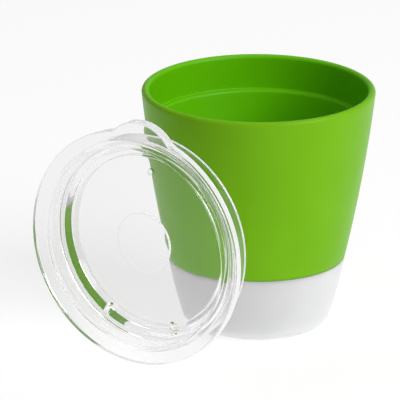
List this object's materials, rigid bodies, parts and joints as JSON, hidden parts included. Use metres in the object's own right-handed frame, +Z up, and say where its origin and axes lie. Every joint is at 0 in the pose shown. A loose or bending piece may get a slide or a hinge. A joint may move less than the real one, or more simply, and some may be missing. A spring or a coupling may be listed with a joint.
{
  "type": "toddler cup",
  "caption": "Tapered open cup for a toddler with a soft white base, and a separate clear training lid with a pull tab standing on edge beside it.",
  "frame": {"origin": "centre of the cup's base, on the surface that it stands on", "axes": "+Z up along the cup's axis, out of its mouth; -Y towards the viewer; the lid stands at -X, -Y"},
  "size_m": [0.1194, 0.1104, 0.0885],
  "materials": {
    "green_plastic": "satin moulded polypropylene",
    "white_soft": "matte soft elastomer",
    "clear_plastic": "water-clear, glossy"
  },
  "bodies": {
    "cup": {"cup_body": "green_plastic", "base_shell": "white_soft"},
    "lid": {"lid": "clear_plastic"}
  },
  "joints": [
    {"name": "lid_lift", "type": "slide", "parent": "cup", "child": "lid", "axis": [0, 0, 1], "range_m": [0, 0.1]}
  ]
}
